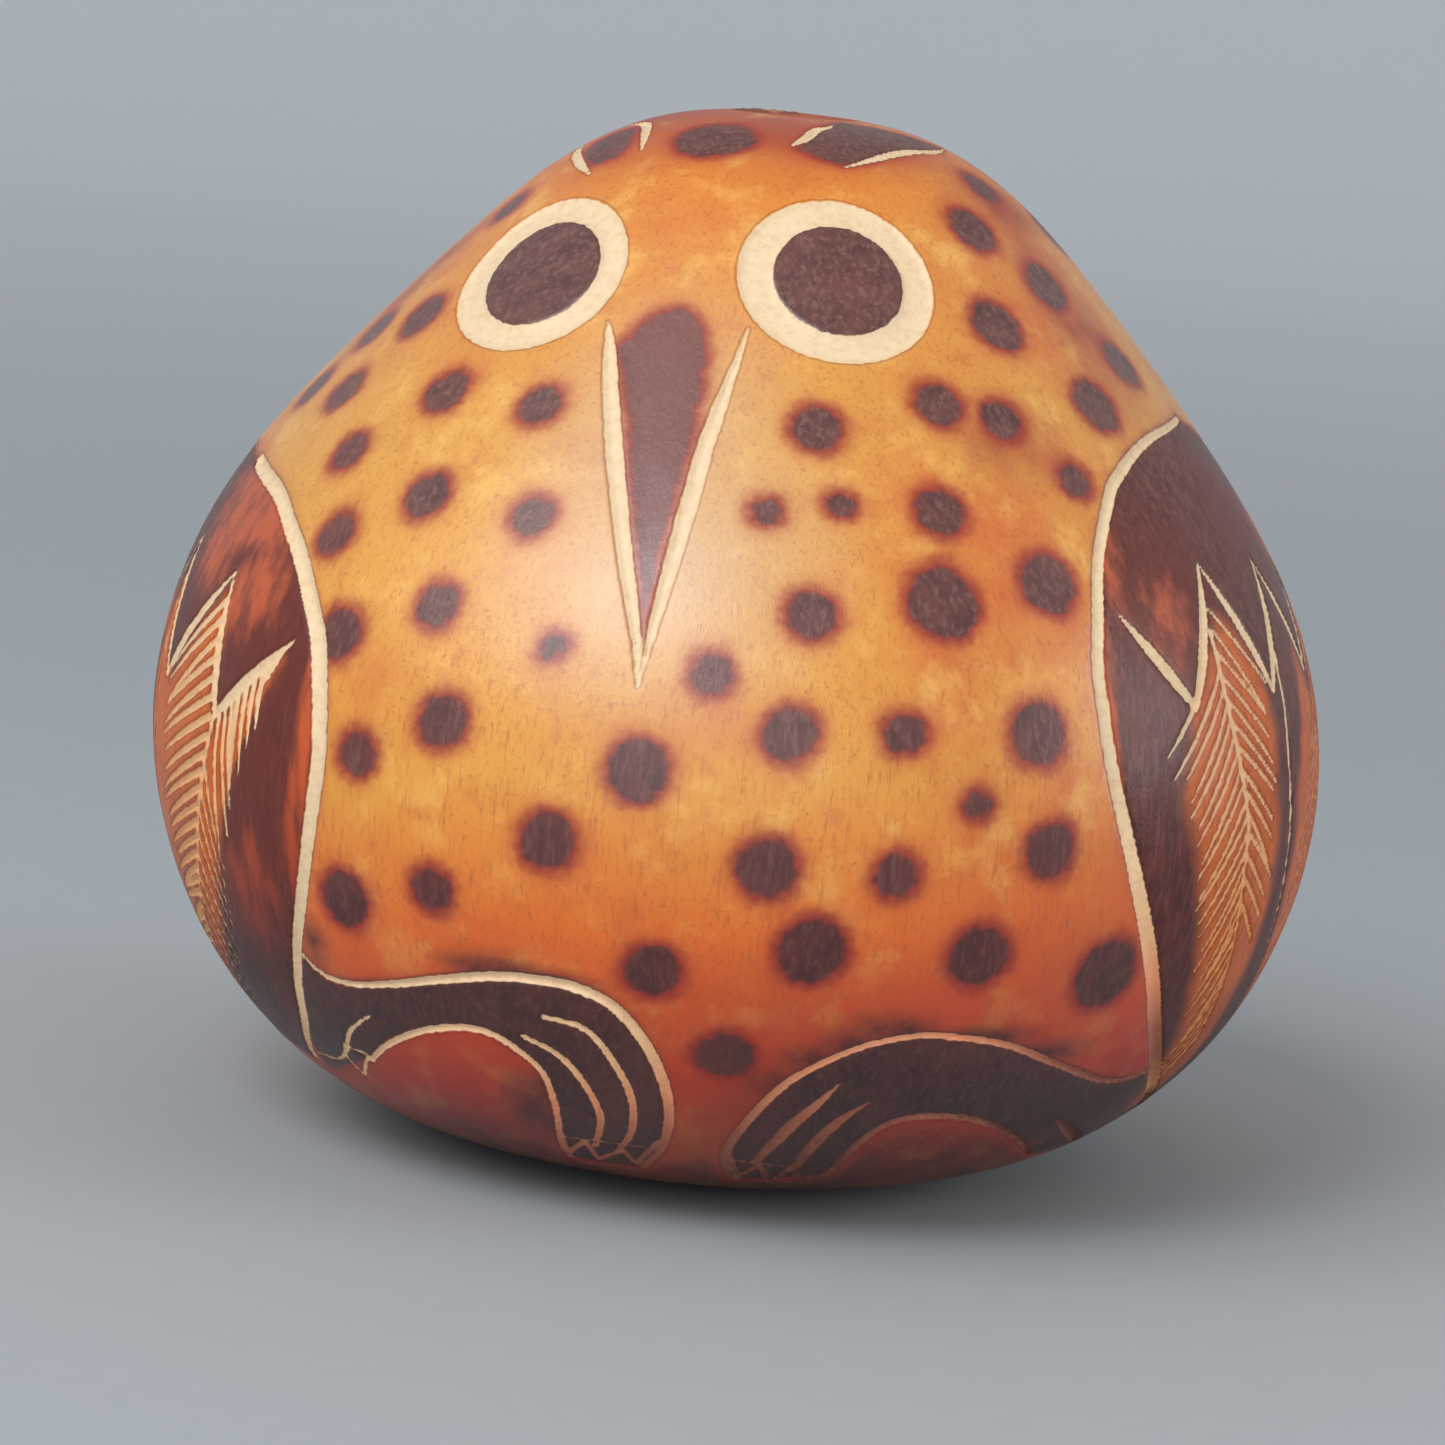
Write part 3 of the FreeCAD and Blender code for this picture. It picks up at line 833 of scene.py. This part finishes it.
class Nodes:
    """A material's node tree, built by short calls that each return an output socket.

    Colours are (red, green, blue), 0 to 255 as on screen."""

    def __init__(self, name):
        self.material = bpy.data.materials.new(name)
        self.material.use_nodes = True
        self.tree = self.material.node_tree
        self.shader = self.tree.nodes["Principled BSDF"]
        self.place = self._new("ShaderNodeTexCoord", {}).outputs["Object"]

    def _new(self, kind, sockets, **settings):
        """A new node, with these settings, and with a value or a link for each of these sockets."""
        node = self.tree.nodes.new(kind)
        for name, value in settings.items():
            setattr(node, name, value)
        for name, value in sockets.items():
            self._set(node.inputs[name], value)
        return node

    def _set(self, socket, value):
        if isinstance(value, bpy.types.NodeSocket):
            self.tree.links.new(value, socket)
        else:
            socket.default_value = paint(*value) if isinstance(value, tuple) else value

    def field(self, name):
        return self._new("ShaderNodeAttribute", {}, attribute_name=name).outputs["Fac"]

    def math(self, operation, first, second=0.0):
        return self._new("ShaderNodeMath", {0: first, 1: second}, operation=operation).outputs[0]

    def times(self, first, second):
        return self.math("MULTIPLY", first, second)

    def noise(self, size, detail=2.0, roughness=0.5, stretch=(1, 1, 1), distortion=0.0):
        """Noise from 0 to 1 with lumps about this many millimetres across."""
        scale = [1 / share for share in stretch]
        mapping = self._new("ShaderNodeMapping", {"Vector": self.place, "Scale": scale})
        sockets = {"Vector": mapping.outputs[0], "Scale": 1 / (size * MM), "Detail": detail,
                   "Roughness": roughness, "Distortion": distortion}
        return self._new("ShaderNodeTexNoise", sockets).outputs["Fac"]

    def shake(self, value, size, amount, detail=2.0):
        """A value moved up and down by noise, by about this amount."""
        around_zero = self.math("SUBTRACT", self.noise(size, detail), 0.5)
        return self.math("ADD", value, self.times(around_zero, 2 * amount))

    def ramp(self, value, low, high, first=0.0, last=1.0):
        """A smooth step from first to last as value goes from low to high."""
        sockets = {"Value": value, "From Min": low, "From Max": high, "To Min": first, "To Max": last}
        return self._new("ShaderNodeMapRange", sockets, interpolation_type="SMOOTHSTEP").outputs["Result"]

    def blend(self, share, first, second):
        sockets = {0: share, 6: first, 7: second}
        return self._new("ShaderNodeMix", sockets, data_type="RGBA").outputs[2]

    def mottle(self, colour, lumps, low, high, most, other):
        """The colour, with up to this share of another one where the noise goes from low to high."""
        return self.blend(self.ramp(lumps, low, high, 0, most), colour, other)

    def colours(self, value, stops):
        """A colour ramp through (position, colour) stops."""
        node = self._new("ShaderNodeValToRGB", {0: value})
        points = node.color_ramp.elements
        while len(points) < len(stops):
            points.new(0.5)
        for point, (position, colour) in zip(points, stops):
            point.position = position
            point.color = paint(*colour)
        return node.outputs[0]

    def height(self, lean=0.0):
        """Millimetres above the foot, less this share of the millimetres toward the owl's left wing."""
        parts = self._new("ShaderNodeSeparateXYZ", {0: self.place}).outputs
        leaning = self.times(parts["X"], lean)
        return self.math("DIVIDE", self.math("SUBTRACT", parts["Z"], leaning), MM)

    def level(self, top, lean=0.0):
        """The height as a share of this top height."""
        return self.math("DIVIDE", self.height(lean), top)

    def from_origin(self):
        """Metres from the frame's origin."""
        return self._new("ShaderNodeVectorMath", {0: self.place}, operation="LENGTH").outputs["Value"]

    def bump(self, height, depth, normal=None):
        """A bump this many millimetres deep where height goes from 0 to 1."""
        sockets = {"Strength": 1.0, "Distance": depth * MM, "Height": height}
        if normal is not None:
            sockets["Normal"] = normal
        return self._new("ShaderNodeBump", sockets).outputs[0]

    def feed(self, name, value):
        self._set(self.shader.inputs[name], value)

    def finish(self, colour, roughness, normal=None):
        self.feed("Base Color", colour)
        self.feed("Roughness", roughness)
        if normal is not None:
            self.feed("Normal", normal)
        return self.material


def floor_material():
    n = Nodes("studio_floor")
    grain = n.noise(2.5, 4)
    near = n.blend(grain, (162, 167, 170), (166, 171, 174))
    far = n.blend(grain, (212, 216, 219), (216, 220, 223))
    # Painted light: the floor is painted lighter far off, making up for the lamps' light falling off there.
    return n.finish(n.blend(n.ramp(n.from_origin(), 0.15, 1.1), near, far), 0.9)


# The heights, in millimetres, that the ends of the colour ramps stand for.
GOURD_TOP = 75
EMBER_TOP = 60
FLESH_TOP = 24


def amber_varnish(n, pores, fibres):
    """The varnished skin: darker and redder toward the foot and toward the owl's left wing, partly its own
    colour and partly painted shade; clouded, pitted and stained, with a painted highlight on the breast.
    """
    # Painted shade, in part: the height leans toward the owl's left wing, so the amber ramp darkens toward
    # the foot and on that side.
    height = n.shake(n.height(lean=0.12), 14, 3.0)
    amber = n.colours(n.math("DIVIDE", height, GOURD_TOP), [
        (0.0, (60, 14, 9)), (0.05, (92, 18, 10)), (0.12, (172, 34, 12)),
        (0.20, (204, 64, 18)), (0.29, (230, 108, 20)), (0.42, (223, 150, 50)),
        (0.72, (217, 152, 61)), (0.92, (218, 130, 44)), (1.0, (176, 72, 30))])
    # Redder, darker amber: its own colour low down, painted shade toward the owl's left wing.
    redder_amber_and_shade = n.times(n.field("redder_amber_and_shade"), n.ramp(n.noise(5, 3), 0.3, 0.7, 0.15, 0.6))
    amber = n.blend(redder_amber_and_shade, amber, (200, 80, 26))
    amber = n.mottle(amber, n.noise(11, 3, 0.55), 0.5, 0.75, 0.5, (204, 96, 32))
    amber = n.mottle(amber, n.noise(2.6, 4, 0.6), 0.5, 0.8, 0.45, (190, 88, 32))
    golden = n.times(n.ramp(n.noise(4, 3, 0.6), 0.5, 0.75, 0, 0.5), n.ramp(height, 10, 34, 0.25, 1))
    amber = n.blend(golden, amber, (244, 190, 96))
    amber = n.mottle(amber, fibres, 0.5, 0.75, 0.5, (164, 70, 24))
    pitted = n.times(n.ramp(n.noise(6, 3), 0.35, 0.65, 0.05, 0.7), n.ramp(pores, 0.56, 0.74))
    amber = n.blend(pitted, amber, (172, 80, 32))
    stain = n.times(n.field("stain"), n.ramp(n.noise(3, 3), 0.3, 0.7, 0.5, 0.9))
    amber = n.blend(stain, amber, (150, 50, 22))
    # Painted highlight: the pale patch on the breast, blended into the amber.
    return n.blend(n.times(n.field("pale"), 0.6), amber, (204, 178, 152))


def scorched_varnish(n, varnish, burn):
    """The varnish with a red-brown halo round each burn, and with the burning iron's smudges."""
    scorched = n.blend(n.ramp(burn, -0.5, 1.4, 0.45, 0), varnish, (176, 50, 12))
    scorched = n.blend(n.ramp(burn, -0.65, 0.55, 0.92, 0), scorched, (142, 24, 8))
    smudge = n.times(n.field("smudge"), n.ramp(n.noise(1.5, 3), 0.3, 0.6, 0.6, 0.95))
    return n.blend(smudge, scorched, (84, 24, 16))


def char_colour(n, flecks):
    """The dark burn, redder low down, with pale flecks that are partly skin the iron missed and partly
    painted glints of sheen, more of them higher up.
    """
    level = n.level(GOURD_TOP)
    dark = n.colours(level, [(0.14, (46, 10, 7)), (0.3, (68, 12, 8)), (0.65, (74, 30, 24))])
    pale = n.colours(level, [(0.14, (68, 24, 18)), (0.3, (98, 26, 18)), (0.65, (104, 54, 46))])
    char = n.blend(n.ramp(n.noise(1.6, 4, 0.6), 0.25, 0.75), dark, pale)
    char = n.mottle(char, n.noise(14, 2), 0.5, 0.7, 0.35, (124, 54, 42))
    return n.blend(n.times(flecks, n.ramp(level, 0.1, 0.8, 0.2, 0.8)), char, (124, 82, 70))


def wing_colour(n, char):
    """The char with red-brown embers: the wings are burnt unevenly, in streaks that run down them."""
    streaks = n.noise(1.3, 4, 0.6, stretch=(1, 1, 4))
    glow = n.colours(n.level(EMBER_TOP), [
        (0.3, (140, 42, 18)), (0.5, (194, 82, 34)), (0.75, (184, 86, 50))])
    glow = n.blend(n.ramp(streaks, 0.3, 0.6), n.blend(0.5, char, glow), glow)
    ember = n.math("ADD", n.field("ember"), n.times(n.math("SUBTRACT", streaks, 0.5), 1.4))
    ember = n.times(n.ramp(ember, 0.1, 0.95), n.field("wing"))
    red = n.times(n.times(n.field("red"), n.field("wing")), 0.75)
    return n.blend(ember, n.blend(red, char, (104, 36, 24)), glow)


def feather_colour(n, flecks):
    """The skin under the feathers, which was burnt least."""
    colour = n.blend(n.noise(4, 3), (182, 70, 16), (228, 116, 32))
    colour = n.blend(n.times(flecks, 0.4), colour, (120, 46, 20))
    return n.blend(n.ramp(n.height(), 10, 24, 0.6, 0), colour, (120, 46, 24))


def burnt_colour(n):
    """What each burn's middle looks like: char, and the lighter wings, feathers and beak."""
    # Thin upright flecks: in the char, pale ones that are partly skin the iron missed and partly painted
    # glints; among the feathers, dark ones.
    flecks = n.ramp(n.noise(0.4, 4, 0.7, stretch=(1, 1, 9)), 0.46, 0.66)
    feather = n.ramp(n.shake(n.field("feather"), 3, 0.2), 0.15, 0.85)
    colour = n.blend(feather, wing_colour(n, char_colour(n, flecks)), feather_colour(n, flecks))
    return n.blend(n.times(n.field("beak"), 0.75), colour, (124, 70, 62))


def bare_flesh(n):
    """The cream flesh that the grooves bare: dimmer toward the foot and toward the owl's left wing, which is
    painted shade, and tanned among the feathers.
    """
    # Painted shade: the ramp darkens the flesh toward the foot, and through the lean toward the owl's left
    # wing.
    bare = n.colours(n.level(FLESH_TOP, lean=0.32), [
        (0.0, (112, 56, 46)), (0.2, (176, 98, 76)), (0.36, (255, 164, 118)),
        (0.5, (255, 198, 146)), (0.75, (255, 214, 168)), (1.0, (230, 202, 162))])
    bare = n.mottle(bare, n.noise(0.6, 4, 0.65), 0.4, 0.75, 0.35, (200, 146, 100))
    tanned = n.times(n.field("feather"), n.ramp(n.height(), 20, 36, 0.75, 0.4))
    return n.blend(tanned, bare, (236, 158, 88))


def add_gloss(n, in_groove):
    """The varnish's shine: less on the wings and the crown, low down, and in the grooves."""
    level = n.level(GOURD_TOP)
    crown = n.ramp(level, 0.86, 0.96)
    gloss = n.times(n.ramp(n.field("wing"), 0, 1, 0.7, 0.42), n.ramp(crown, 0, 1, 1, 0.65))
    n.feed("Specular IOR Level", gloss)
    coat = n.ramp(n.math("ADD", n.field("wing"), in_groove), 0, 0.8, 0.36, 0.04)
    coat = n.times(coat, n.ramp(level, 0.12, 0.36, 0.2, 1))
    n.feed("Coat Weight", n.times(coat, n.ramp(crown, 0, 1, 1, 0.3)))
    n.feed("Coat Roughness", 0.3)


def rind_material():
    """Amber varnish with ragged burns and bare cream grooves, each groove with a thin dark lip."""
    n = Nodes("burnt_gourd")
    pores = n.noise(0.3, 3, 0.6)
    fibres = n.noise(0.3, 4, 0.65, stretch=(1, 1, 7))
    burn = n.shake(n.shake(n.field("burn"), 0.6, 0.27, 1), 2.2, 0.4)
    cut = n.shake(n.field("cut"), 0.5, 0.05)
    in_burn = n.ramp(burn, -0.8, -0.3, 1, 0)
    on_lip = n.ramp(n.math("ABSOLUTE", n.math("SUBTRACT", cut, 0.1)), 0.0, 0.12, 0.38, 0)
    in_groove = n.ramp(cut, -0.07, 0.04, 1, 0)
    colour = scorched_varnish(n, amber_varnish(n, pores, fibres), burn)
    colour = n.blend(in_burn, colour, burnt_colour(n))
    colour = n.blend(on_lip, colour, (84, 34, 18))
    colour = n.blend(in_groove, colour, bare_flesh(n))
    roughness = n.math("ADD", 0.33, n.times(n.noise(3, 4), 0.14))
    roughness = n.math("ADD", roughness, n.times(in_groove, 0.2))
    normal = n.bump(pores, 0.025)
    normal = n.bump(fibres, 0.03, normal)
    normal = n.bump(n.noise(3.5, 3), 0.06, normal)
    add_gloss(n, in_groove)
    return n.finish(colour, roughness, normal)


def wood_wall_material():
    """The rind's bare inner face, its sanded foot and the wall of the stem's hole."""
    n = Nodes("bare_rind")
    fibre = n.noise(0.5, 4, 0.6, stretch=(1, 1, 6))
    colour = n.blend(fibre, (176, 128, 78), (214, 174, 120))
    colour = n.mottle(colour, n.noise(7, 3), 0.45, 0.75, 0.5, (128, 78, 44))
    return n.finish(colour, 0.75, n.bump(fibre, 0.05))


def pith_material():
    n = Nodes("dry_pith")
    fluff = n.noise(1.2, 5, 0.7, distortion=1.0)
    colour = n.blend(fluff, (196, 168, 120), (236, 218, 176))
    return n.finish(colour, 0.95, n.bump(fluff, 0.25))


def stem_material():
    """Dark broken wood in the middle, and the crown's stained varnish round it."""
    n = Nodes("stem_wood")
    fibre = n.noise(0.35, 4, 0.65, stretch=(1, 1, 8))
    varnish = n.blend(n.noise(1.5, 4), (140, 50, 26), (186, 92, 52))
    wood = n.blend(fibre, (84, 38, 26), (150, 88, 62))
    wood = n.mottle(wood, n.noise(1.8, 3), 0.45, 0.6, 1, (176, 112, 86))
    colour = n.blend(n.ramp(n.field("knob"), 0.3, 0.7), varnish, wood)
    colour = n.blend(n.ramp(n.field("crack"), 0.2, 0.9), colour, (40, 14, 8))
    return n.finish(colour, 0.65, n.bump(fibre, 0.12))


def seed_material():
    n = Nodes("seed_coat")
    grain = n.noise(0.6, 4, 0.6)
    colour = n.blend(grain, (122, 88, 54), (184, 148, 100))
    colour = n.mottle(colour, n.noise(4, 2), 0.5, 0.7, 0.5, (92, 60, 36))
    return n.finish(colour, 0.55, n.bump(grain, 0.06))


def dress(node, material):
    """Gives a CAD node that stays its own material."""
    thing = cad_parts[node]
    thing.data.materials.clear()
    thing.data.materials.append(material)


add_camera()
add_lights()
add_sky()
add_floor()
build_rind()
dress("pith_lining", pith_material())
build_stem()
seed_coat = seed_material()
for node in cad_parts:
    if node.startswith("seed_"):
        dress(node, seed_coat)
